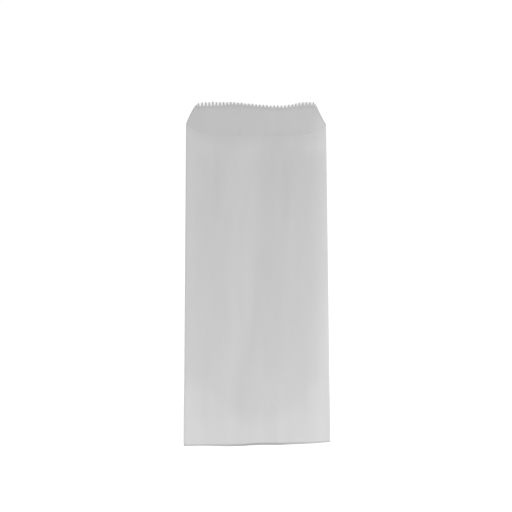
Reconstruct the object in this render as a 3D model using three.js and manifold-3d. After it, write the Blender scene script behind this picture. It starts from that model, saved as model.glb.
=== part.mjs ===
// A greaseproof paper bag, empty and lying on its back, in millimetres.
// +X runs across the bag, +Y from the bottom fold to the toothed lip, and +Z up out of the front panel.
// The bag is one web of paper: a flat tube glued along a seam in the back panel, with its bottom end
// turned over to the back and glued, and its top cut so that the back panel stands out as a lip.

import * as THREE from "three";
import { mergeVertices } from "three/addons/utils/BufferGeometryUtils.js";
import Module from "manifold-3d";

const wasm = await Module();
wasm.setup();

// Paper
const paperThickness = 0.08;
const pressedGap = 0.12; // air left between the two panels where they lie pressed together

// Outline, with heights measured up from the bottom fold
const bagWidth = 120;
const bagLength = 290; // to the tips of the lip's teeth
const lipHeight = 19.3; // from the shoulders, where the side folds end, to the tips
const scoopDepth = 11.7; // how far the front panel's cut edge sinks below the shoulders
const mouthRoundness = 5.5; // power of |x| in the scooped edge: a higher one is flatter in the middle

// Lip
const shoulderInset = 9; // how far the lip narrows on each side
const shoulderBow = 1.2; // how far the shoulder's cut swells outwards
const toothPitch = 3.1;
const toothDepth = 3;
const endToothDrop = 1.6; // how far the outermost teeth stand below the rest
const lipDip = 3; // how far the line of teeth sinks right of the middle
const dipStart = -28;
const dipLowest = 22;
const dipEnd = 46;

// Seam of the back panel, left of the middle
const seamOuterEdge = -23.5; // free edge of the ply that lies outside
const seamOverlap = 10.3;
const seamStep = 1.5; // width over which the inner ply climbs onto the outer one

// Bottom
const flapLength = 44; // the front panel's end, turned over to the back
const turnedBackLength = 13; // the back panel's end, turned over inside the flap
const closedStrip = 5; // strip along the fold in which the panels are pressed shut
const bottomSlant = 3.3; // the right end of the fold lies this much higher than the left end
const bottomBow = 1; // how far the middle of the fold hangs below its ends

// Relaxed form
const pillowHeight = 3.2; // how far the front panel stands off the back panel
const pillowSquareness = 3; // power of |x| in its section: a higher one is flatter in the middle
const pillowStart = 6; // heights between which the panels part
const pillowFull = 90;
const mouthFlattening = 0.65; // share of the pillow that is lost again at the mouth
const mouthFlatteningRun = 70; // length below the mouth over which it is lost
const ripple = 0.2; // lengthwise waves of the front panel
const rippleCount = 3;
const lipCurl = 1.8; // how far the toothed edge lifts off the table
const lipCurlRun = 50; // length below the tips over which it lifts
const lipCurlCentre = 18;
const lipCurlReach = 34;

// Fineness of the surface
const columns = 18;
const rows = 20;
const foldSegments = 4;
const margin = 5; // how far a cutting solid reaches past the paper

const halfWidth = bagWidth / 2;
const sideFoldLength = bagLength - lipHeight;
const mouthHeight = sideFoldLength - scoopDepth;
const foldRadius = paperThickness + pressedGap / 2;
const stackHeight = 2 * foldRadius;
const seamInnerEdge = seamOuterEdge + seamOverlap;
const partingHeight = (2 * paperThickness + stackHeight - paperThickness) / 2; // between seam and front
const toothRowHalf = halfWidth - shoulderInset;

// Heights and shifts of the relaxed bag

function easedStep(value, from, to) {
  return THREE.MathUtils.smoothstep(value, from, to);
}

// Distance between the panels, which is nothing at the side folds and at the bottom
function pillow(x, y) {
  const across = Math.max(0, 1 - Math.abs(x / halfWidth) ** pillowSquareness);
  const along = easedStep(y, pillowStart, pillowFull);
  const flattened = 1 - mouthFlattening * easedStep(y, mouthHeight - mouthFlatteningRun, mouthHeight);
  const waves = ripple * Math.cos((2 * Math.PI * rippleCount * x) / bagWidth);
  return across * along * (pillowHeight * flattened + waves);
}

// Gentle curl of both panels towards the toothed edge
function lift(x, y) {
  const across = Math.exp(-(((x - lipCurlCentre) / lipCurlReach) ** 2));
  return lipCurl * across * Math.max(0, 1 - (bagLength - y) / lipCurlRun) ** 2;
}

// The back panel lies on its turned-over bottom and sinks to the table just past it
function settle(y) {
  const flapStack = 2 * paperThickness;
  return flapStack * (1 - easedStep(y, flapLength + 2, flapLength + 14));
}

// The bottom fold is slanted and bowed, and this dies out towards the mouth
function bottomShift(x, y) {
  const across = x / halfWidth;
  const atFold = (bottomSlant / 2) * across - bottomBow * (1 - across ** 2);
  return atFold * (1 - y / bagLength);
}

// Moves a flat solid's vertices to the relaxed bag
function relax(geometry) {
  const position = geometry.attributes.position;
  for (let i = 0; i < position.count; i += 1) {
    const x = position.getX(i);
    const y = position.getY(i);
    const z = position.getZ(i);
    const opening = z > partingHeight ? pillow(x, y) : 0;
    position.setXYZ(i, x, y + bottomShift(x, y), z + settle(y) + lift(x, y) + opening);
  }
  return geometry;
}

// Solids

function toSolid(geometry) {
  const bare = geometry.clone();
  bare.deleteAttribute("normal");
  bare.deleteAttribute("uv");
  const merged = mergeVertices(bare, 1e-5);
  return new wasm.Manifold(
    new wasm.Mesh({
      numProp: 3,
      vertProperties: Float32Array.from(merged.attributes.position.array),
      triVerts: Uint32Array.from(merged.index.array),
    }),
  );
}

function toGeometry(solid) {
  const mesh = solid.getMesh();
  const geometry = new THREE.BufferGeometry();
  geometry.setAttribute("position", new THREE.BufferAttribute(mesh.vertProperties, 3));
  geometry.setIndex(new THREE.BufferAttribute(mesh.triVerts, 1));
  geometry.computeVertexNormals();
  return geometry;
}

// A prism with vertical walls on an outline in the plane of the table
function prism(outline, bottom, top) {
  const geometry = new THREE.ExtrudeGeometry(outline, { depth: top - bottom, bevelEnabled: false });
  return geometry.translate(0, 0, bottom);
}

// Places of the lengthwise folds in the mesh of a panel, clear of the seam's edges
function columnPlaces() {
  const reach = halfWidth - foldRadius;
  const places = [];
  for (let i = 0; i <= columns; i += 1) {
    places.push(-reach + (2 * reach * i) / columns);
  }
  return places;
}

function sectionSide(height, seamPoints) {
  const clearance = 1;
  const first = seamPoints.length ? seamPoints[0].x - clearance : Infinity;
  const last = seamPoints.length ? seamPoints.at(-1).x + clearance : -Infinity;
  const places = columnPlaces();
  const before = places.filter((x) => x < first).map((x) => new THREE.Vector2(x, height));
  const after = places.filter((x) => x > last && x >= first).map((x) => new THREE.Vector2(x, height));
  return [...before, ...seamPoints, ...after];
}

function foldArc(side, radius) {
  const points = [];
  for (let i = 1; i < foldSegments; i += 1) {
    const angle = -Math.PI / 2 + (Math.PI * i) / foldSegments;
    const x = side * (halfWidth - foldRadius + radius * Math.cos(angle));
    points.push(new THREE.Vector2(x, foldRadius + side * radius * Math.sin(angle)));
  }
  return points;
}

// One face of the pressed tube's section, from the left fold along the back panel and round the front
function sectionFace(depth, seamPoints) {
  const front = columnPlaces().map((x) => new THREE.Vector2(-x, stackHeight - depth));
  return [
    ...sectionSide(depth, seamPoints),
    ...foldArc(1, foldRadius - depth),
    ...front,
    ...foldArc(-1, foldRadius - depth),
  ];
}

// The tube, with the two plies of the seam as one thickness and the outer ply's free edge as a notch
function tubeGeometry() {
  const outer = sectionFace(0, [
    new THREE.Vector2(seamOuterEdge - seamStep, 0),
    new THREE.Vector2(seamOuterEdge, paperThickness),
    new THREE.Vector2(seamOuterEdge, 0),
  ]);
  const inner = sectionFace(paperThickness, [
    new THREE.Vector2(seamOuterEdge - seamStep, paperThickness),
    new THREE.Vector2(seamOuterEdge, 2 * paperThickness),
    new THREE.Vector2(seamInnerEdge, 2 * paperThickness),
    new THREE.Vector2(seamInnerEdge, paperThickness),
  ]);
  const section = new THREE.Shape(outer);
  section.holes.push(new THREE.Path(inner));
  const bottomInset = closedStrip / 2;
  const length = bagLength + margin - bottomInset;
  const geometry = new THREE.ExtrudeGeometry(section, { depth: length, steps: rows, bevelEnabled: false });
  return geometry.rotateX(Math.PI / 2).translate(0, bagLength + margin, 0);
}

// Height of the front panel's scooped edge, and of the flap's edge that was cut along the same line
function mouthLine(x) {
  return mouthHeight + scoopDepth * Math.abs(x / halfWidth) ** mouthRoundness;
}

function flapLine(x) {
  return flapLength - scoopDepth * Math.abs(x / halfWidth) ** mouthRoundness;
}

// The turned-over bottom: the rounded fold, the strip pressed shut, and the plies glued to the back
function turnedBottomGeometry() {
  const top = stackHeight;
  const underside = -2 * paperThickness;
  const noseRadius = (top - underside) / 2;
  const profile = new THREE.Shape();
  profile.moveTo(closedStrip, top);
  profile.lineTo(0, top);
  profile.absarc(0, top - noseRadius, noseRadius, Math.PI / 2, (3 * Math.PI) / 2, false);
  profile.lineTo(turnedBackLength, underside);
  profile.lineTo(turnedBackLength + seamStep, underside + paperThickness);
  profile.lineTo(flapLength + 1, underside + paperThickness);
  profile.lineTo(flapLength + 1, paperThickness / 2);
  profile.lineTo(closedStrip, paperThickness / 2);
  const width = bagWidth - foldRadius;
  const geometry = new THREE.ExtrudeGeometry(profile, {
    depth: width,
    steps: columns,
    bevelEnabled: false,
    curveSegments: foldSegments,
  });
  const turn = new THREE.Matrix4().makeBasis(
    new THREE.Vector3(0, 1, 0),
    new THREE.Vector3(0, 0, 1),
    new THREE.Vector3(1, 0, 0),
  );
  return geometry.applyMatrix4(turn).translate(-width / 2, 0, 0);
}

function curveAcross(line, from, to) {
  const points = [];
  for (let i = 0; i <= 2 * columns; i += 1) {
    const x = from + ((to - from) * i) / (2 * columns);
    points.push(new THREE.Vector2(x, line(x)));
  }
  return points;
}

// Everything past a line that runs from the left side fold to the right one
function beyond(linePoints) {
  const far = bagLength + 2 * margin;
  const wide = halfWidth + margin;
  return new THREE.Shape([
    new THREE.Vector2(-wide, linePoints[0].y),
    ...linePoints,
    new THREE.Vector2(wide, linePoints.at(-1).y),
    new THREE.Vector2(wide, far),
    new THREE.Vector2(-wide, far),
  ]);
}

function tipLine(x) {
  const dip = lipDip * easedStep(x, dipStart, dipLowest) * (1 - easedStep(x, dipLowest, dipEnd));
  const drop = endToothDrop * Math.abs(x / toothRowHalf) ** 12;
  return bagLength - dip - drop;
}

function shoulder(side) {
  const start = new THREE.Vector2(side * halfWidth, sideFoldLength);
  const end = new THREE.Vector2(side * toothRowHalf, tipLine(toothRowHalf) - toothDepth / 2);
  const middle = start.clone().add(end).multiplyScalar(0.5);
  middle.x += side * shoulderBow;
  return new THREE.QuadraticBezierCurve(start, middle, end).getPoints(6);
}

function toothRow() {
  const count = Math.round((2 * toothRowHalf) / toothPitch);
  const pitch = (2 * toothRowHalf) / count;
  const points = [];
  for (let i = 0; i < count; i += 1) {
    const tip = -toothRowHalf + (i + 0.5) * pitch;
    points.push(new THREE.Vector2(tip, tipLine(tip)));
    if (i < count - 1) {
      const notch = tip + pitch / 2;
      points.push(new THREE.Vector2(notch, tipLine(notch) - toothDepth));
    }
  }
  return points;
}

function lipKnife() {
  const outline = beyond([...shoulder(-1), ...toothRow(), ...shoulder(1).reverse()]);
  return toSolid(prism(outline, -margin, pillowHeight + 2 * margin));
}

// The knife for the front panel stays above a surface that runs between the two panels
function frontKnife() {
  const top = pillowHeight + 2 * margin;
  const start = mouthHeight - margin;
  const length = bagLength + 2 * margin - start;
  const above = new THREE.BoxGeometry(bagWidth + 2 * margin, length, top, columns, rows, 1);
  above.translate(0, start + length / 2, top / 2);
  const position = above.attributes.position;
  for (let i = 0; i < position.count; i += 1) {
    if (position.getZ(i) < top / 2) {
      const x = position.getX(i);
      const y = position.getY(i);
      position.setZ(i, partingHeight + lift(x, y) + pillow(x, y) / 3);
    }
  }
  const cut = prism(beyond(curveAcross(mouthLine, -halfWidth, halfWidth)), -margin, top);
  return toSolid(above).intersect(toSolid(cut));
}

function bottomFlap() {
  const outline = beyond(curveAcross(flapLine, -halfWidth, halfWidth));
  const knife = toSolid(prism(outline, -margin, margin));
  return toSolid(relax(turnedBottomGeometry())).subtract(knife);
}

function bagSolid() {
  const tube = toSolid(relax(tubeGeometry()));
  return tube.add(bottomFlap()).subtract(lipKnife()).subtract(frontKnife());
}

const paper = new THREE.MeshStandardMaterial({ color: 0xcccccb, roughness: 0.75, metalness: 0 });

// The origin is under the middle of the bag's box, on the table
const bag = new THREE.Mesh(toGeometry(bagSolid()), paper);
bag.name = "paper_bag";
bag.geometry.computeBoundingBox();
const box = bag.geometry.boundingBox;
bag.position.set(-(box.min.x + box.max.x) / 2, -(box.min.y + box.max.y) / 2, -box.min.z);

const object = new THREE.Group();
object.add(bag);

export default object;
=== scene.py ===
# %% [markdown]
# # A greaseproof paper bag
# The real bag starts as one web of thin, dense paper. A machine wraps the web into a flat tube, glues the
# overlap on the back, cuts the tube with a toothed knife, turns the bottom end over and glues it down.
# A lofted shell or five joined plates would both give the outline, but neither has the loose plies, the
# seam and the turned-over end that catch the light. So this script follows the machine: one flat grid
# is cut, folded twice, and then let go, and it keeps the thickness of the paper until last.

# %% Load the frame
import math

import bmesh
import bpy
from mathutils import Matrix, Vector, noise


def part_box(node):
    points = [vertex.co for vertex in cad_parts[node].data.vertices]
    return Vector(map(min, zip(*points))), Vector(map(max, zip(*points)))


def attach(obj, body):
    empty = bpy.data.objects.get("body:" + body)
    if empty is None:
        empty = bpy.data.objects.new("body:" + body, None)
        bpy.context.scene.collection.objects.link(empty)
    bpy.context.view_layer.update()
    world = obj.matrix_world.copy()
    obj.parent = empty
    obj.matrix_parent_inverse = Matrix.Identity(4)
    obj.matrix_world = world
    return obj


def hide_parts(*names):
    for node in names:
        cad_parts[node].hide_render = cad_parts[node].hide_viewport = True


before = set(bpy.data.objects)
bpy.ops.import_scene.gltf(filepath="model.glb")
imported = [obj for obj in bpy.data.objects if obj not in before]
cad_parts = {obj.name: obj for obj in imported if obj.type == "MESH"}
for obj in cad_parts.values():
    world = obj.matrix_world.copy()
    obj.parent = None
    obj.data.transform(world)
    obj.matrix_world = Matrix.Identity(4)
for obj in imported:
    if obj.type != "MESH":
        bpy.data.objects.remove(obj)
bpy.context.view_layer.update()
low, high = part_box("paper_bag")

# %% [markdown]
# ## Sizes
# The bag is modelled in millimetres, with heights counted from the bottom fold, because that is how a bag
# is specified. The frame gives the width, and it says where the fold lies on the table.
# Everything else is a size of the paper or of the machine's tools.

# %% Sizes of the paper and the folds
millimetre = 0.001
bag_width = (high[0] - low[0]) / millimetre
half_width = bag_width / 2
bag_length = 290.0
fold_place = high[1] / millimetre - bag_length

paper_thickness = 0.08
ply_gap = 0.005
pressed_gap = 0.12
fold_radius = paper_thickness + pressed_gap / 2

side_fold_length = 270.7
mouth_height = 259.0
mouth_roundness = 5.5
scoop_depth = side_fold_length - mouth_height

seam_outer_edge = -23.5
seam_inner_edge = -13.2
seam_step = 1.5

flap_length = 44.0
turned_back_length = 13.0
print("bag width", round(bag_width, 2), "mm, bottom fold at y =", round(fold_place, 2), "mm")

# %% [markdown]
# ## Soft steps, humps and noise
# Paper has no sharp change of shape or tone except at a cut. So every form below is put together from three
# small helpers: a soft step, a soft hump, and a smooth noise that comes out the same on each run.

# %% Helpers for soft forms
def eased(value, start, end):
    """A soft step: 0 before the start and 1 after the end."""
    share = min(1.0, max(0.0, (value - start) / (end - start)))
    return share * share * (3 - 2 * share)


def hump(value, place, width):
    """A soft hump of height 1 at its place."""
    return math.exp(-(((value - place) / width) ** 2))


def humps(value, shapes):
    """The sum of several humps, each given by its height, place and width."""
    return sum(height * hump(value, place, width) for height, place, width in shapes)


def rough(across, along, layer):
    """Smooth noise, the same on each run. The layer keeps two uses of it apart."""
    return noise.noise(Vector((across, along, layer)))


print("a soft step half way:", eased(0.5, start=0.0, end=1.0))

# %% [markdown]
# ## The cut lines
# One blade cuts the web, and its edge is a graph over the width: teeth over the lip, a shoulder down to each
# side fold, and a wide scoop across the front. Formulas are used instead of drawn outlines, so that the flap
# at the other end can be cut along the very same scoop.

# %% Scoop of the mouth and the flap
right_drop = 1.5


def side_top(x):
    """Height where the cut meets the side fold, a little lower on the right."""
    return side_fold_length - (right_drop if x > 0 else 0.0)


def scoop(x):
    """The scoop's curve: 0 over most of the width, and 1 at the side folds."""
    return min(1.0, abs(x) / half_width) ** mouth_roundness


def mouth_line(x):
    return mouth_height + (side_top(x) - mouth_height) * scoop(x)


def flap_line(x):
    return flap_length - scoop_depth * scoop(x)


print("front panel:", mouth_line(0.0), "mm long in the middle,", side_top(-half_width), "mm at the left fold")

# %% Tooth row and shoulders
shoulder_inset = 9.0
left_bow = 1.9
right_bow = -0.8
blade_pitch = 3.1
tooth_row_half = half_width - shoulder_inset
tooth_count = round(2 * tooth_row_half / blade_pitch)
tooth_pitch = 2 * tooth_row_half / tooth_count
tooth_depth = 3.0
end_tooth_drop = 0.9
end_tooth_power = 24
lip_dip = 3.6
dip_start = -28.0
dip_lowest = 22.0
dip_end = 46.0


def tip_line(x):
    dip = lip_dip * eased(x, dip_start, dip_lowest) * (1 - eased(x, dip_lowest, dip_end))
    return bag_length - dip - end_tooth_drop * min(1.0, abs(x) / tooth_row_half) ** end_tooth_power


def shoulder_line(x):
    share = (half_width - abs(x)) / shoulder_inset
    end = tip_line(tooth_row_half) - tooth_depth / 2
    swell = 4 * (left_bow if x < 0 else right_bow) * share * (1 - share)
    return side_top(x) + (end - side_top(x)) * share + swell


print("teeth:", tooth_count, "of", round(tooth_pitch, 3), "mm")

# %% One tooth
deep_share = 1.25
shallow_share = 0.82
left_deep_end = -34.0
left_shallow_start = -18.0
right_shallow_end = 30.0
right_deep_start = 40.0
ragged = 0.7
tooth_noise_step = 1.7
blade_wear = 0.6
blunt = 0.15
tip_start = 0.25
row_end_margin = 0.01


def depth_at(x):
    """Teeth are deeper towards both ends of the row than between them."""
    deep = 1 - eased(x, left_deep_end, left_shallow_start) + eased(x, right_shallow_end, right_deep_start)
    return tooth_depth * (shallow_share + (deep_share - shallow_share) * deep)


def lip_line(x):
    """Height of the lip's cut edge, and the smooth line below its teeth."""
    if abs(x) > tooth_row_half - row_end_margin:
        return shoulder_line(x), shoulder_line(x)
    tooth, phase = divmod((x + tooth_row_half) / tooth_pitch, 1.0)
    tip = tip_line(x) - blade_wear
    notch = tip - depth_at(x)
    wander = ragged * rough(tooth_noise_step * tooth, along=3.7, layer=0.5)
    is_tip = tip_start < phase < 1 - tip_start
    return (tip + wander if is_tip else notch), notch


print("tooth depth at the end and in the middle:", [round(depth_at(x), 2) for x in (-tooth_row_half, 0.0)])

# %% [markdown]
# ## The stations of the grid
# A fold needs a few narrow columns where the paper turns. A blunt tooth needs two columns at its tip and two
# at its notch. The open panels need only enough columns and rows for a soft bend. So the columns and rows
# are spaced unevenly, each where the paper needs it.

# %% Columns across a panel
shoulder_columns = 6
crease_x = half_width - fold_radius


def spread(start, end, count):
    return [start + (end - start) * i / count for i in range(count + 1)]


tooth_stations = [
    -tooth_row_half + (tooth + phase) * tooth_pitch
    for tooth in range(tooth_count)
    for phase in (blunt, 0.5 - blunt, 0.5 + blunt, 1 - blunt)
]
left_stations = spread(-crease_x, -tooth_row_half, shoulder_columns)
right_stations = spread(tooth_row_half, crease_x, shoulder_columns)
panel_stations = left_stations + tooth_stations + right_stations
print("columns across one panel:", len(panel_stations))

# %% Columns round the whole tube
bend_steps = 4
crease_middle = fold_radius
bend_radius = fold_radius - paper_thickness / 2
back_level = paper_thickness / 2
front_level = 2 * fold_radius - paper_thickness / 2
edge_margin = 0.5


def side_bend(side):
    """Places round a side fold: up from the back on the left, down from the front on the right."""
    turns = spread(-90, 90, bend_steps)[1:-1]
    turns = turns if side < 0 else turns[::-1]
    return [
        (
            side * (crease_x + bend_radius * math.cos(math.radians(turn))),
            crease_middle + bend_radius * math.sin(math.radians(turn)),
            "side",
        )
        for turn in turns
    ]


def inner_ply_level(x):
    """The seam's inner ply climbs over the outer one."""
    climb = eased(x, seam_outer_edge - seam_step, seam_outer_edge)
    return back_level + (paper_thickness + ply_gap) * climb


leftwards = panel_stations[::-1]
inner_ply = [seam_inner_edge] + [x for x in leftwards if x < seam_inner_edge - edge_margin]
outer_ply = [x for x in leftwards if x > seam_outer_edge + edge_margin] + [seam_outer_edge]
columns = (
    [(x, inner_ply_level(x), "inner") for x in inner_ply]
    + side_bend(-1)
    + [(x, front_level, "front") for x in panel_stations]
    + side_bend(1)
    + [(x, back_level, "back") for x in outer_ply]
)
print("columns:", len(columns))

# %% Rows along the web
plain_top = 240.0
fold_rows = (0.0, 0.5, 1.3)
flap_rows = 18
bend_rows = 6
plain_rows = 64
mouth_rows = 14
rows = (
    [("turned", 1 - i / flap_rows) for i in range(flap_rows)]
    + [("bend", i / bend_rows) for i in range(bend_rows)]
    + [("plain", y / plain_top) for y in fold_rows]
    + [("plain", i / plain_rows) for i in range(1, plain_rows)]
    + [("mouth", i / mouth_rows) for i in range(mouth_rows)]
    + [("cut", 1.0)]
)
print("rows:", len(rows))

# %% [markdown]
# ## How the empty bag lies
# An unused bag isn't flat: the panels part a few millimetres, a shallow valley runs down the front, the
# toothed edge curls up a little, and the bottom fold springs open in the middle. A cloth simulation would
# find some such shape, but not this one, so each of these is a short formula.

# %% Pillow of the front panel
pillow_height = 3.2
pillow_squareness = 4.2
rise_start = 6.0
rise_end = 90.0
left_flattening = 0.6
left_flattening_end = 24.0
mouth_flattening = 0.65
mouth_flattening_length = 70.0
valley_depth = 1.0
valley_width = 11.5
valley_lean = 21.0
valley_turn_start = 20.0
valley_turn_end = 150.0
cockles = (
    {"height": 0.28, "across": 17, "along": 75, "layer": 2.0},
    {"height": 0.10, "across": 7, "along": 40, "layer": 9.0},
)


def valley_place(y):
    """The valley starts left of the middle at the bottom and reaches the middle half way up."""
    return -valley_lean + valley_lean * eased(y, valley_turn_start, valley_turn_end)


def cockle(x, y, height, across, along, layer):
    """A slight unevenness of the paper, given by its height and its lengths across and along."""
    return height * rough(x / across, y / along, layer)


def loose_height(x, y):
    """How far the panels would part if nothing held them at the edges."""
    height = pillow_height * (1 - left_flattening * (1 - eased(x, -half_width, left_flattening_end)))
    height *= 1 - mouth_flattening * eased(y, mouth_height - mouth_flattening_length, mouth_height)
    height -= valley_depth * hump(x, valley_place(y), valley_width)
    return max(0.0, height + sum(cockle(x, y, **values) for values in cockles))


print("loose height in the middle:", round(loose_height(0.0, bag_length / 2), 2), "mm")

# %% Where the pillow is held down
mouth_press = 14.0
mouth_gap = 0.03
mouth_ajar = ((0.45, 20.0, 9.0), (0.25, -33.0, 6.0))


def pillow(x, y):
    """Height of the front panel over the back one, held at the side folds, the bottom and the mouth."""
    across = max(0.0, 1 - abs(x / half_width) ** pillow_squareness)
    along = eased(y, rise_start, rise_end)
    pressed = 1 - eased(y, mouth_line(x) - mouth_press, mouth_line(x))
    held = pressed + (1 - pressed) * (mouth_gap + humps(x, mouth_ajar)) / pillow_height
    return across * along * held * loose_height(x, y)


print("pillow in the middle:", round(pillow(0.0, bag_length / 2), 2), "mm")

# %% Curl of the lip
lip_curl = 1.8
curl_start = 240.0
curl_shapes = ((1.0, 18.0, 34.0), (0.25, -38.0, 14.0))
ridge_height = 0.45
ridge_below_mouth = 6.0
ridge_width = 9.0
ridge_squareness = 3


def lift(x, y):
    """Curl of both panels at the mouth, and the low ridge where the back panel leaves the front one."""
    share = max(0.0, (y - curl_start) / (bag_length - curl_start))
    ridge = ridge_height * hump(y, mouth_height - ridge_below_mouth, ridge_width)
    ridge *= 1 - abs(x / half_width) ** ridge_squareness
    return lip_curl * humps(x, curl_shapes) * share**2 + max(0.0, ridge)


print("the lip curls up", round(lift(curl_shapes[0][1], bag_length), 2), "mm")

# %% Spring and line of the bottom fold
fold_spring = 0.6
spring_middle = 5
spring_half = 52
spring_unevenness = 0.3
spring_wavelength = 11
bottom_slant = 3.3
bottom_bow = 0.75
bottom_sag = 0.7
sag_place = 48.0
sag_width = 16.0
wave_height = 0.3
wave_crest = 2.0
wave_radius = 7.5


def spring(x):
    """How far the bottom fold stands open: most in the middle, a little uneven elsewhere."""
    middle = max(0.0, 1 - ((x - spring_middle) / spring_half) ** 2)
    uneven = spring_unevenness * rough(x / spring_wavelength, along=0.0, layer=4.0)
    return fold_spring * middle * (1 + uneven)


def bottom_shift(x, y):
    """The bottom fold isn't quite straight or square, and that fades out towards the lip."""
    share = x / half_width
    wave = wave_height * math.cos((x - wave_crest) / wave_radius)
    sag = bottom_sag * hump(x, sag_place, sag_width)
    at_fold = (bottom_slant / 2) * share + (wave - bottom_bow) * (1 - share**2) - sag
    return at_fold * (1 - y / bag_length)


print("the bottom fold stands open", round(spring(spring_middle), 2), "mm")

# %% [markdown]
# ## Folding one place of the web
# Each grid point belongs to one column and one row. The column says where it lies in the flat tube,
# and the row says whether it lies in the panel, round the bottom fold, or turned over behind the bag.

# %% Levels behind the bag
fold_gap = 0.02
plies_end = turned_back_length + 1.5
past_flap = flap_length + 16.0
flap_glue_length = 8.0
inner_glue_length = 6.0
inner_glue_share = 0.5


def fold_axis(x):
    return -fold_gap - spring(x)


def base_height(x, y):
    """What lifts the bag off the table: the turned-over plies, and nothing past them."""
    stack = front_level + paper_thickness / 2 - 2 * fold_axis(x)
    flap_ply = paper_thickness + ply_gap
    over_stack = stack * (1 - eased(y, plies_end, past_flap))
    over_flap = flap_ply * (1 - eased(y, flap_length, past_flap))
    return max(over_stack, over_flap)


def turned_level(x, level, panel, distance):
    """Level of a turned-over ply, from the fold to where the glue holds it against the back."""
    flat = 2 * fold_axis(x) - level
    glued = -paper_thickness / 2 - ply_gap
    if panel == "front":
        pressed = eased(distance, plies_end, plies_end + flap_glue_length)
    else:
        pressed = eased(distance, 0.0, inner_glue_length) * inner_glue_share
    return flat + (glued - flat) * pressed


print("the fold lifts the bag", round(base_height(0.0, 0.0), 2), "mm off the table")

# %% Fold a point
cut_strip = 0.8


def cut_heights(x, panel):
    """The cut edge of a panel, and the line where its last row of faces starts."""
    if panel in ("back", "inner"):
        return lip_line(x)
    if panel == "front":
        return mouth_line(x), mouth_line(x)
    return side_top(x), side_top(x)


def folded(column, row):
    x, level, panel = column
    zone, share = row
    if zone == "turned":
        reach = min(turned_back_length, flap_line(x)) if panel in ("back", "inner") else flap_line(x)
        distance = reach * share
        return x, distance, turned_level(x, level, panel, distance) + base_height(x, distance)
    if zone == "bend":
        radius = level - fold_axis(x)
        angle = math.pi * (1 - share)
        z = fold_axis(x) + radius * math.cos(angle) + base_height(x, 0.0)
        return x, -radius * math.sin(angle), z
    top, base = cut_heights(x, panel)
    if zone == "plain":
        y = plain_top * share
    elif zone == "mouth":
        y = plain_top + (base - cut_strip - plain_top) * share
    else:
        y = top
    opening = pillow(x, y) if panel == "front" else 0.0
    return x, y, level + base_height(x, y) + lift(x, y) + opening


fold_middle = folded((0.0, front_level, "front"), ("bend", 0.5))
print("middle of the bottom fold:", [round(value, 2) for value in fold_middle])

# %% [markdown]
# ## Tone of the paper
# This paper lets light through, so it looks a little paler where more sheets or dried paste lie behind it.
# On top of that, much of its tone is painted light and painted shade: paler near the bottom fold, by the side
# folds and along the front's cut edge, greyer in streaks, on the right and below the mouth, and darker at the
# teeth, the seam's free edges, the bottom fold and two spots above the mouth. So each grid point carries two
# numbers, a ply tone with its painted light and shade, and a painted rim shade, which the material reads
# later. They are smooth formulas over the bag.

# %% Paste and plies behind the front panel, and painted light near the bottom and by the side folds
seam_tone = 0.06
paste_and_light_low = 18.0
paste_and_light_rise = 31.0
paste_and_light_middle = 3.0
paste_and_light_half = 45.0
paste_and_light_fade = 9.0
left_corner_paste_and_light = 0.6
right_corner_paste_and_light = 0.5
left_mouth_light = 0.6
right_mouth_light = 1.05
left_roll_and_light_width = 20.0
right_roll_and_light_width = 12.0
roll_and_light_edge = 1.0
bottom_right_light = 0.7
top_right_light = 0.35


def seam_share(x):
    """1 where the two plies of the seam lie over each other."""
    start = eased(x - seam_outer_edge, start=-2.0, end=1.0)
    return start * (1 - eased(x - seam_inner_edge, start=-1.0, end=2.0))


def paste_and_light_line(x):
    """Upper edge of the paler area near the bottom, painted light partly over the pasted flap: low in the
    middle, higher at the sides.
    """
    return paste_and_light_low + paste_and_light_rise * min(1.0, abs(x - paste_and_light_middle) / paste_and_light_half) ** 2


def paste_and_painted_light(x, y):
    """Paler near the bottom fold, at two lower corners and in two places under the mouth: painted light,
    partly the pasted flap showing through near the bottom.
    """
    paste = 1 - eased(y, paste_and_light_line(x) - paste_and_light_fade, paste_and_light_line(x) + paste_and_light_fade)
    paste += left_corner_paste_and_light * (1 - eased(y, start=8.0, end=30.0)) * hump(x, place=-38.0, width=14.0)
    paste += right_corner_paste_and_light * (1 - eased(y, start=12.0, end=34.0)) * hump(x, place=46.0, width=8.0)
    # Painted light: paler places just under the mouth.
    below_mouth = mouth_height - y
    left_part = hump(x, place=-44.0, width=9.0)
    right_part = eased(x, start=16.0, end=32.0)
    paste += left_mouth_light * left_part * (1 - eased(below_mouth, start=8.0, end=20.0))
    paste += right_mouth_light * right_part * (1 - eased(below_mouth, start=7.0, end=17.0))
    return paste


def side_roll_and_light(x, y):
    """Paler strips by the side folds, more widely on the left and at both ends on the right: painted light on
    the flanks, partly paper rolled over itself at the folds.
    """
    roll_width = left_roll_and_light_width if x < 0 else right_roll_and_light_width
    roll_and_light = 1 - eased(half_width - abs(x), roll_and_light_edge, roll_width)
    roll_and_light += bottom_right_light * eased(x, start=36.0, end=half_width) * (1 - eased(y, start=70.0, end=150.0))
    roll_and_light += top_right_light * eased(x, start=34.0, end=46.0) * eased(y, start=222.0, end=248.0)
    return roll_and_light


print("paste line, middle and side:", paste_and_light_line(paste_and_light_middle), paste_and_light_line(half_width), "mm up")

# %% Painted shade on the front panel
shade_streaks = (
    {"strength": 0.35, "place": -33.0, "start": 192.0, "end": 250.0, "width": 4.0},
    {"strength": 0.40, "place": 24.0, "start": 186.0, "end": 226.0, "width": 4.5},
    {"strength": 0.35, "place": -13.0, "start": 160.0, "end": 186.0, "width": 3.5},
    {"strength": 0.35, "place": -13.0, "start": 18.0, "end": 42.0, "width": 4.0},
    {"strength": 0.30, "place": 39.0, "start": 28.0, "end": 38.0, "width": 3.5},
)


streak_fade_in = 6
streak_fade_out = 12
right_shade_strength = 0.45
valley_shade_strength = 0.42


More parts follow.
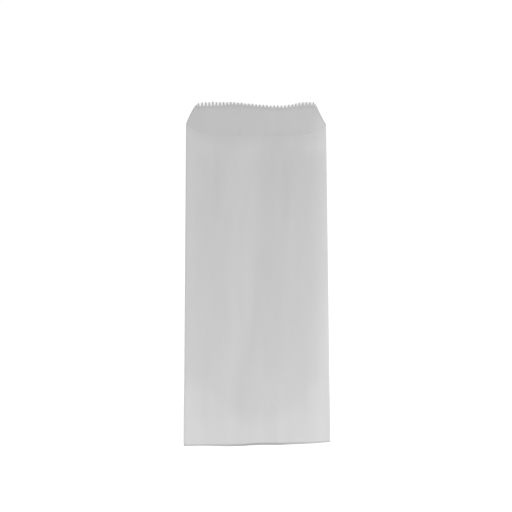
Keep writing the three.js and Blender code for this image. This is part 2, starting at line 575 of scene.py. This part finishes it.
def shade_streak(x, y, strength, place, start, end, width):
    """A soft lengthwise streak of painted shade that fades out at both ends."""
    along = eased(y, start - streak_fade_out, start + streak_fade_in)
    along *= 1 - eased(y, end - streak_fade_in, end + streak_fade_out)
    return strength * (along * hump(x, place, width))


def painted_right_shade(x, y):
    """Painted shade: the right half of the front is a little greyer, most of all beside the valley."""
    right_part = eased(x, start=4.0, end=24.0) * (1 - eased(x, start=36.0, end=64.0))
    right_half_shade = right_shade_strength * right_part * eased(y, start=30.0, end=80.0)
    beside_valley = hump(x, place=9.5, width=8.0) * eased(y, start=45.0, end=65.0)
    return right_half_shade + valley_shade_strength * beside_valley * (1 - eased(y, start=150.0, end=175.0))


print("streaks:", len(shade_streaks))

# %% Plies behind any place, with painted light and painted shade
front_tone = 0.8
paste_and_light_tone = 0.8
roll_and_light_tone = 0.9
cut_edge_light = 0.45
cut_edge_light_width = 0.7
mouth_shade_width = 8.0
mouth_shade_strength = 0.6
right_mouth_relief = 0.5
lip_corner_tone = 0.6
lip_corner_end_tone = 1.5


def lip_tone(x, y):
    """The lip is one sheet, but its right corner is paler, most of all near the side fold's end."""
    corner = lip_corner_tone + lip_corner_end_tone * (1 - eased(y, start=268.0, end=281.0))
    return seam_tone * seam_share(x) + corner * eased(x, start=43.0, end=57.0)


def plies_with_painted_light_and_shade(x, y, panel):
    """How many sheets seem to lie behind the one that is seen, with soft edges where they end, together with
    painted light and painted shade.
    """
    if panel in ("back", "inner"):
        return lip_tone(x, y)
    # Painted shade: the front panel greys over its last millimetres below the mouth, less on the right.
    mouth_shade = mouth_shade_strength - right_mouth_relief * eased(x, start=38.0, end=52.0)
    pressed = 1 - mouth_shade * eased(y, mouth_line(x) - mouth_shade_width, mouth_line(x))
    streak_and_right_shade = sum(shade_streak(x, y, **values) for values in shade_streaks) + painted_right_shade(x, y)
    tone = front_tone + seam_tone * seam_share(x) + paste_and_light_tone * paste_and_painted_light(x, y)
    tone += roll_and_light_tone * side_roll_and_light(x, y) - streak_and_right_shade
    # Painted light along the front panel's cut edge, where its rim would show a dark line.
    return pressed * tone + cut_edge_light * eased(y, mouth_line(x) - cut_edge_light_width, mouth_line(x))


print("plies behind the middle of the front:", round(plies_with_painted_light_and_shade(0.0, bag_length / 2, "front"), 2))

# %% Painted shade at the rims
tooth_shade = 0.3
free_edge_shade = 0.2
free_edge_width = 0.6
under_shade = 0.55
under_middle_shade = 0.45
under_right_relief = 0.05
wide_spot_shade = 0.1
narrow_spot_shade = 0.15


def fold_shade(x):
    """Painted shadow at the bottom fold, darkest where it stands open."""
    relief = under_right_relief * eased(x, start=20.0, end=50.0)
    return under_shade + under_middle_shade * hump(x, place=2.0, width=26.0) - relief


def painted_mouth_shadows(x, y):
    """Painted shadows: two small dark places in the lip, just above the mouth."""
    above_mouth = y - mouth_height
    wide = wide_spot_shade * hump(x, place=20.0, width=7.0) * hump(above_mouth, place=2.0, width=2.5)
    narrow = narrow_spot_shade * hump(x, place=-14.0, width=1.2) * hump(above_mouth, place=4.0, width=2.5)
    return wide + narrow


def painted_shade_at_rims(x, y, zone, panel):
    """Painted shade at the cut lip's teeth, along the free edges of the seam, where the bottom fold turns
    under, and at two spots above the mouth.
    """
    if zone == "bend":
        return fold_shade(x)
    if zone == "turned" or panel == "front":
        return fold_shade(x) * (1.0 - eased(y, start=0.3, end=1.4))
    if panel == "side":
        return 0.0
    above_notch = y - lip_line(x)[1]
    teeth = tooth_shade * eased(above_notch, start=-1.5, end=0.5)
    if panel == "inner":
        free_edge = free_edge_shade * hump(x, seam_inner_edge, free_edge_width)
        free_edge *= 1 - eased(bag_length - y, start=8.0, end=16.0)
    else:
        free_edge = free_edge_shade * hump(x, seam_outer_edge, free_edge_width)
    return max(teeth, painted_mouth_shadows(x, y), free_edge)


print("shade in the middle of the fold:", round(fold_shade(0.0), 2))

# %% [markdown]
# ## The whole web
# One bmesh grid has a point for every pair of a column and a row. Each point is folded to its place and gets
# its two tones. Smooth shading suits paper, but a cut edge stays crisp, so the edges of the grid are sharp.

# %% Fold the whole web
web = bmesh.new()
bmesh.ops.create_grid(web, x_segments=len(columns) - 1, y_segments=len(rows) - 1, size=1.0)
plies_painted_light_and_shade = web.verts.layers.float.new("plies_painted_light_and_shade")
painted_rim_shade = web.verts.layers.float.new("painted_rim_shade")

for vert in web.verts:
    column = columns[round((vert.co.x + 1) / 2 * (len(columns) - 1))]
    row = rows[round((vert.co.y + 1) / 2 * (len(rows) - 1))]
    x, y, z = folded(column, row)
    # The ply tone holds painted light and painted shade as well as the plies behind.
    vert[plies_painted_light_and_shade] = plies_with_painted_light_and_shade(x, y, column[2])
    # Painted shade at the teeth, along the seam's free edges, under the bottom fold and above the mouth.
    vert[painted_rim_shade] = painted_shade_at_rims(x, y, row[0], column[2])
    vert.co = (x, y + bottom_shift(x, max(0.0, y)), z)

to_table = Matrix.Translation((0, fold_place * millimetre, 0)) @ Matrix.Scale(millimetre, 4)
bmesh.ops.transform(web, matrix=to_table, verts=web.verts)
for face in web.faces:
    face.smooth = True
for edge in web.edges:
    edge.smooth = not edge.is_boundary
print("web:", len(web.verts), "points,", len(web.faces), "faces")

# %% Give the paper its thickness
mesh = bpy.data.meshes.new("paper_bag_web")
web.to_mesh(mesh)
web.free()
bag = bpy.data.objects.new("folded_bag", mesh)
bpy.context.scene.collection.objects.link(bag)
thickness = bag.modifiers.new("paper_thickness", "SOLIDIFY")
thickness.thickness = paper_thickness * millimetre
thickness.offset = 0.0
print("paper:", paper_thickness, "mm thick")

# %% [markdown]
# ## Greaseproof paper
# The paper is pale grey-white, smooth and slightly cloudy, because its fibres lie unevenly. A picture of
# paper would repeat and blur, so the clouds and fibres come from noise on object coordinates, stretched
# along the web. The ply tone, with its painted light and painted shade, sets the grey, and the painted rim
# shade and the clouds darken it.

# %% Node group: clouds and fibres of the paper
along_stretch = 0.22


def new_node(tree, kind, place, **values):
    node = tree.nodes.new(kind)
    node.location = place
    for name, value in values.items():
        setattr(node, name, value)
    return node


def paper_formation():
    group = bpy.data.node_groups.new("paper_formation", "ShaderNodeTree")
    side = group.interface
    side.new_socket("Vector", in_out="INPUT", socket_type="NodeSocketVector")
    side.new_socket("Cloud Scale", in_out="INPUT", socket_type="NodeSocketFloat")
    side.new_socket("Fibre Scale", in_out="INPUT", socket_type="NodeSocketFloat")
    side.new_socket("Cloud", in_out="OUTPUT", socket_type="NodeSocketFloat")
    side.new_socket("Fibre", in_out="OUTPUT", socket_type="NodeSocketFloat")
    entry = new_node(group, "NodeGroupInput", (-700, 0))
    exit_node = new_node(group, "NodeGroupOutput", (500, 0))
    stretch = new_node(group, "ShaderNodeMapping", (-450, -150))
    stretch.inputs["Scale"].default_value = (1.0, along_stretch, 1.0)
    cloud = new_node(group, "ShaderNodeTexNoise", (-200, 150))
    cloud.inputs["Detail"].default_value = 5.0
    cloud.inputs["Roughness"].default_value = 0.6
    fibre = new_node(group, "ShaderNodeTexNoise", (-200, -150))
    fibre.inputs["Detail"].default_value = 3.0
    fibre.inputs["Distortion"].default_value = 0.6
    link = group.links.new
    link(entry.outputs["Vector"], stretch.inputs["Vector"])
    link(stretch.outputs["Vector"], cloud.inputs["Vector"])
    link(stretch.outputs["Vector"], fibre.inputs["Vector"])
    link(entry.outputs["Cloud Scale"], cloud.inputs["Scale"])
    link(entry.outputs["Fibre Scale"], fibre.inputs["Scale"])
    link(cloud.outputs["Fac"], exit_node.inputs["Cloud"])
    link(fibre.outputs["Fac"], exit_node.inputs["Fibre"])
    return group


formation = paper_formation()
print("node group:", formation.name)

# %% Colour of the paper
single_ply = (0.560, 0.560, 0.560, 1.0)
palest_plies_and_painted_light = (0.650, 0.650, 0.650, 1.0)
plies_at_palest = 2.5
painted_shade_darkest = 0.62
cloud_low = 0.985
cloud_high = 1.015


def paper_tone(tree):
    """Grey of the paper, from one ply to many, with the painted light and shade that the ply tone carries."""
    # Reads the ply tone, which holds painted light and painted shade.
    behind = new_node(tree, "ShaderNodeAttribute", (-1050, 300), attribute_name="plies_painted_light_and_shade")
    share = new_node(tree, "ShaderNodeMapRange", (-800, 300))
    share.inputs["From Max"].default_value = plies_at_palest
    body = new_node(tree, "ShaderNodeMix", (-550, 300), data_type="RGBA")
    body.inputs["A"].default_value = single_ply
    body.inputs["B"].default_value = palest_plies_and_painted_light
    tree.links.new(behind.outputs["Fac"], share.inputs["Value"])
    tree.links.new(share.outputs["Result"], body.inputs["Factor"])
    return body.outputs["Result"]


def painted_shade_and_clouds(tree, cloud):
    """What darkens the paper: painted shade at its rims, and its clouds a little."""
    # Reads the painted shade at the rims.
    edge = new_node(tree, "ShaderNodeAttribute", (-1050, 550), attribute_name="painted_rim_shade")
    shade = new_node(tree, "ShaderNodeMapRange", (-550, 550))
    shade.inputs["To Min"].default_value = 1.0
    shade.inputs["To Max"].default_value = painted_shade_darkest
    mottle = new_node(tree, "ShaderNodeMapRange", (-800, 0))
    mottle.inputs["From Min"].default_value = 0.3
    mottle.inputs["From Max"].default_value = 0.7
    mottle.inputs["To Min"].default_value = cloud_low
    mottle.inputs["To Max"].default_value = cloud_high
    both = new_node(tree, "ShaderNodeMath", (-300, 450), operation="MULTIPLY")
    tree.links.new(edge.outputs["Fac"], shade.inputs["Value"])
    tree.links.new(cloud, mottle.inputs["Value"])
    tree.links.new(mottle.outputs["Result"], both.inputs[0])
    tree.links.new(shade.outputs["Result"], both.inputs[1])
    return both.outputs["Value"]


print("one ply", single_ply[0], "and many plies", palest_plies_and_painted_light[0])

# %% Paper material
paper_roughness = 0.62
paper_specular = 0.35
clouds_per_metre = 110.0
fibres_per_metre = 1500.0
fibre_strength = 0.12
fibre_height = 0.0004


def greaseproof_paper():
    material = bpy.data.materials.new("greaseproof_paper")
    material.use_nodes = True
    tree = material.node_tree
    link = tree.links.new
    shader = tree.nodes["Principled BSDF"]
    shader.inputs["Roughness"].default_value = paper_roughness
    shader.inputs["Specular IOR Level"].default_value = paper_specular
    coordinates = new_node(tree, "ShaderNodeTexCoord", (-1300, 0))
    detail = new_node(tree, "ShaderNodeGroup", (-1050, 0), node_tree=formation)
    detail.inputs["Cloud Scale"].default_value = clouds_per_metre
    detail.inputs["Fibre Scale"].default_value = fibres_per_metre
    tint = new_node(tree, "ShaderNodeMix", (-150, 200), data_type="RGBA", blend_type="MULTIPLY")
    tint.inputs["Factor"].default_value = 1.0
    bump = new_node(tree, "ShaderNodeBump", (-300, -200))
    bump.inputs["Strength"].default_value = fibre_strength
    bump.inputs["Distance"].default_value = fibre_height
    link(coordinates.outputs["Object"], detail.inputs["Vector"])
    link(paper_tone(tree), tint.inputs["A"])
    link(painted_shade_and_clouds(tree, detail.outputs["Cloud"]), tint.inputs["B"])
    link(tint.outputs["Result"], shader.inputs["Base Color"])
    link(detail.outputs["Fibre"], bump.inputs["Height"])
    link(bump.outputs["Normal"], shader.inputs["Normal"])
    return material


bag.data.materials.append(greaseproof_paper())
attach(bag, "root")
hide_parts("paper_bag")
print("material:", bag.data.materials[0].name)

# %% [markdown]
# ## Floor and light
# The photograph has a pure white ground with only a thin line of shadow under the bottom fold. The floor is a
# plain diffuse white that the camera sees a little brighter, so that it stays white and still darkens
# where the paper touches it. The light is soft, and stronger from the right and from the bottom end.

# %% Floor
floor_white = (0.9, 0.9, 0.9, 1.0)
floor_gain = 0.26
floor_half_size = 0.7
floor_gap = 0.00005


def white_floor():
    material = bpy.data.materials.new("white_floor")
    material.use_nodes = True
    tree = material.node_tree
    tree.nodes.clear()
    out = new_node(tree, "ShaderNodeOutputMaterial", (400, 0))
    diffuse = new_node(tree, "ShaderNodeBsdfDiffuse", (-200, 100))
    diffuse.inputs["Color"].default_value = floor_white
    glow = new_node(tree, "ShaderNodeEmission", (-200, -100))
    seen = new_node(tree, "ShaderNodeLightPath", (-600, -100))
    gain = new_node(tree, "ShaderNodeMath", (-400, -100), operation="MULTIPLY")
    gain.inputs[1].default_value = floor_gain
    both = new_node(tree, "ShaderNodeAddShader", (150, 0))
    tree.links.new(seen.outputs["Is Camera Ray"], gain.inputs[0])
    tree.links.new(gain.outputs["Value"], glow.inputs["Strength"])
    tree.links.new(diffuse.outputs["BSDF"], both.inputs[0])
    tree.links.new(glow.outputs["Emission"], both.inputs[1])
    tree.links.new(both.outputs["Shader"], out.inputs["Surface"])
    return material


floor_mesh = bpy.data.meshes.new("floor")
floor_grid = bmesh.new()
bmesh.ops.create_grid(floor_grid, x_segments=1, y_segments=1, size=floor_half_size)
floor_grid.to_mesh(floor_mesh)
floor_grid.free()
floor = bpy.data.objects.new("floor", floor_mesh)
floor.location.z = -floor_gap
floor_mesh.materials.append(white_floor())
bpy.context.scene.collection.objects.link(floor)
print("floor:", 2 * floor_half_size, "metres wide")

# %% World
ambient_light = 0.32
ambient_seen = 1.0

world = bpy.data.worlds.new("studio")
bpy.context.scene.world = world
world.use_nodes = True
world_tree = world.node_tree
ambient = world_tree.nodes["Background"]
ambient.inputs["Color"].default_value = (1, 1, 1, 1)
paths = new_node(world_tree, "ShaderNodeLightPath", (-600, 0))
straight = new_node(world_tree, "ShaderNodeMath", (-400, 0), operation="MAXIMUM")
level = new_node(world_tree, "ShaderNodeMapRange", (-200, 0))
level.inputs["To Min"].default_value = ambient_light
level.inputs["To Max"].default_value = ambient_seen
world_tree.links.new(paths.outputs["Is Camera Ray"], straight.inputs[0])
world_tree.links.new(paths.outputs["Is Transmission Ray"], straight.inputs[1])
world_tree.links.new(straight.outputs["Value"], level.inputs["Value"])
world_tree.links.new(level.outputs["Result"], ambient.inputs["Strength"])
print("world:", world.name)

# %% Lamps
def soft_lamp(name, place, target, size, power):
    data = bpy.data.lights.new(name, "AREA")
    data.shape = "SQUARE"
    data.size = size
    data.energy = power
    lamp = bpy.data.objects.new(name, data)
    lamp.location = place
    lamp.rotation_euler = (Vector(target) - Vector(place)).to_track_quat("-Z", "Y").to_euler()
    bpy.context.scene.collection.objects.link(lamp)
    return lamp


lamps = (
    soft_lamp("overhead_lamp", place=(0.05, -0.38, 0.75), target=(0.0, -0.1, 0.0), size=0.35, power=2.0),
    soft_lamp("right_lamp", place=(2.9, -0.4, 1.9), target=(0.0, 0.0, 0.0), size=1.2, power=72.0),
    soft_lamp("left_lamp", place=(-2.9, 0.4, 1.9), target=(0.0, 0.0, 0.0), size=1.2, power=26.0),
)
print("lamps:", [lamp.name for lamp in lamps])

# %% [markdown]
# ## Camera
# The bag looks 4% wider at the bottom than at the top, and that fixes how far the camera leans from
# straight above. The distance and aim then follow from the four corners.

# %% Camera
camera_lens = 77.3
camera_sensor = 36.0
camera_distance = 0.925
camera_lean = math.radians(8.9)
camera_roll = math.radians(0.17)
camera_aim = Vector((-0.00048, 0.0114, 0.0))

camera_data = bpy.data.cameras.new("camera")
camera_data.lens = camera_lens
camera_data.sensor_width = camera_sensor
camera = bpy.data.objects.new("camera", camera_data)
bpy.context.scene.collection.objects.link(camera)
bpy.context.scene.camera = camera
turn = Matrix.Rotation(camera_lean, 4, "X") @ Matrix.Rotation(-camera_roll, 4, "Z")
camera.matrix_world = Matrix.Translation(camera_aim) @ turn @ Matrix.Translation((0, 0, camera_distance))
bpy.context.scene.view_settings.view_transform = "Standard"
print("camera at", [round(value, 3) for value in camera.matrix_world.translation])

# %% Finish
bpy.context.view_layer.update()
